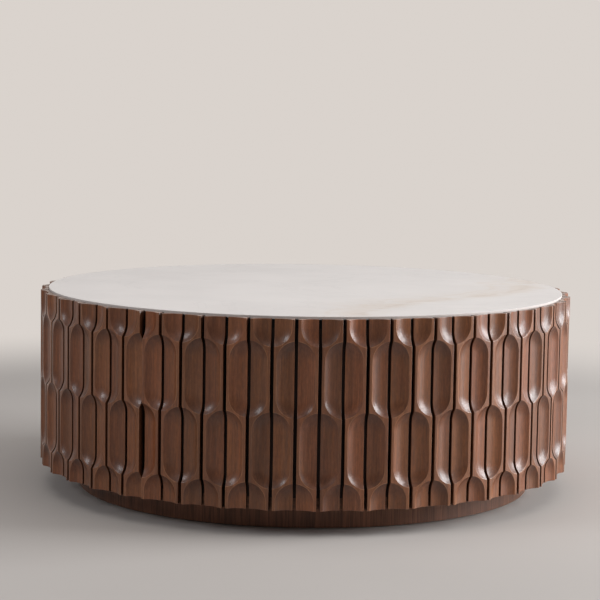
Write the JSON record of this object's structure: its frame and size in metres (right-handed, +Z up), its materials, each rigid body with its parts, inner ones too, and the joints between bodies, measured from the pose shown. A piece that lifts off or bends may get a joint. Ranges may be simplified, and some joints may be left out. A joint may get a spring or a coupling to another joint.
{
  "type": "drum coffee table",
  "caption": "Low round drum table with carved upright slats, an inset stone top and a recessed plinth on levelling feet.",
  "frame": {"origin": "on the floor, under the centre of the table", "axes": "+Z up; -Y is the front, with the seam between the two half drums 33.7 degrees to its left"},
  "size_m": [1.1006, 1.1004, 0.41],
  "materials": {
    "stone": "honed, faint golden veins",
    "slat_wood": "walnut-stained solid wood, satin lacquer",
    "shell_veneer": "dark stained, matt",
    "plinth_veneer": "dark walnut veneer, upright grain, satin",
    "deck_board": "black lacquer, matt",
    "base_board": "walnut-stained board",
    "carcass_ply": "birch plywood, raw",
    "silicone": "clear silicone",
    "pad_plastic": "black nylon",
    "zinc_screw": "zinc plated",
    "zinc_steel": "zinc plated"
  },
  "bodies": {
    "table": {"base_panel": "base_board", "base_screws": "zinc_screw", "bedding_pads": "silicone", "centre_post": "carcass_ply", "deck_screws": "zinc_screw", "foot_block_1": "carcass_ply", "foot_block_2": "carcass_ply", "foot_block_3": "carcass_ply", "foot_block_4": "carcass_ply", "foot_nuts": "zinc_steel", "left_hand_slats_1": "slat_wood", "left_hand_slats_2": "slat_wood", "left_hand_slats_3": "slat_wood", "left_hand_slats_4": "slat_wood", "left_hand_slats_5": "slat_wood", "left_hand_slats_6": "slat_wood", "mid_formers": "carcass_ply", "plinth_panel_1": "plinth_veneer", "plinth_panel_2": "plinth_veneer", "plinth_panel_3": "plinth_veneer", "plinth_panel_4": "plinth_veneer", "plinth_rail_cross": "carcass_ply", "plinth_rail_long": "carcass_ply", "plinth_screws": "zinc_screw", "rib_1": "carcass_ply", "rib_2": "carcass_ply", "rib_3": "carcass_ply", "rib_4": "carcass_ply", "rib_5": "carcass_ply", "rib_6": "carcass_ply", "right_hand_slats_1": "slat_wood", "right_hand_slats_2": "slat_wood", "right_hand_slats_3": "slat_wood", "right_hand_slats_4": "slat_wood", "right_hand_slats_5": "slat_wood", "right_hand_slats_6": "slat_wood", "shell_panel_1": "shell_veneer", "shell_panel_2": "shell_veneer", "shell_panel_3": "shell_veneer", "shell_panel_4": "shell_veneer", "shell_panel_5": "shell_veneer", "shell_panel_6": "shell_veneer", "slat_screws_1": "zinc_screw", "slat_screws_2": "zinc_screw", "slat_screws_3": "zinc_screw", "slat_screws_4": "zinc_screw", "slat_screws_5": "zinc_screw", "slat_screws_6": "zinc_screw", "stone_top": "stone", "top_deck": "deck_board"},
    "foot_1": {"foot_pad_1": "pad_plastic"},
    "stud_1": {"foot_stud_1": "zinc_steel"},
    "foot_2": {"foot_pad_2": "pad_plastic"},
    "stud_2": {"foot_stud_2": "zinc_steel"},
    "foot_3": {"foot_pad_3": "pad_plastic"},
    "stud_3": {"foot_stud_3": "zinc_steel"},
    "foot_4": {"foot_pad_4": "pad_plastic"},
    "stud_4": {"foot_stud_4": "zinc_steel"}
  },
  "joints": [
    {"name": "foot_travel_1", "type": "slide", "parent": "table", "child": "foot_1", "axis": [0, 0, -1], "range_m": [0, 0.008]},
    {"name": "foot_turn_1", "type": "hinge", "parent": "foot_1", "child": "stud_1", "pos_m": [0.08132, -0.40696, 0.02], "axis": [0, 0, -1], "range_deg": [0, 2304]},
    {"name": "foot_travel_2", "type": "slide", "parent": "table", "child": "foot_2", "axis": [0, 0, -1], "range_m": [0, 0.008]},
    {"name": "foot_turn_2", "type": "hinge", "parent": "foot_2", "child": "stud_2", "pos_m": [0.40696, 0.08132, 0.02], "axis": [0, 0, -1], "range_deg": [0, 2304]},
    {"name": "foot_travel_3", "type": "slide", "parent": "table", "child": "foot_3", "axis": [0, 0, -1], "range_m": [0, 0.008]},
    {"name": "foot_turn_3", "type": "hinge", "parent": "foot_3", "child": "stud_3", "pos_m": [-0.08132, 0.40696, 0.02], "axis": [0, 0, -1], "range_deg": [0, 2304]},
    {"name": "foot_travel_4", "type": "slide", "parent": "table", "child": "foot_4", "axis": [0, 0, -1], "range_m": [0, 0.008]},
    {"name": "foot_turn_4", "type": "hinge", "parent": "foot_4", "child": "stud_4", "pos_m": [-0.40696, -0.08132, 0.02], "axis": [0, 0, -1], "range_deg": [0, 2304]}
  ],
  "couplings": [
    {"joint": "foot_turn_1", "follows": "foot_travel_1", "rad_per_m": 5026.5},
    {"joint": "foot_turn_2", "follows": "foot_travel_2", "rad_per_m": 5026.5},
    {"joint": "foot_turn_3", "follows": "foot_travel_3", "rad_per_m": 5026.5},
    {"joint": "foot_turn_4", "follows": "foot_travel_4", "rad_per_m": 5026.5}
  ]
}
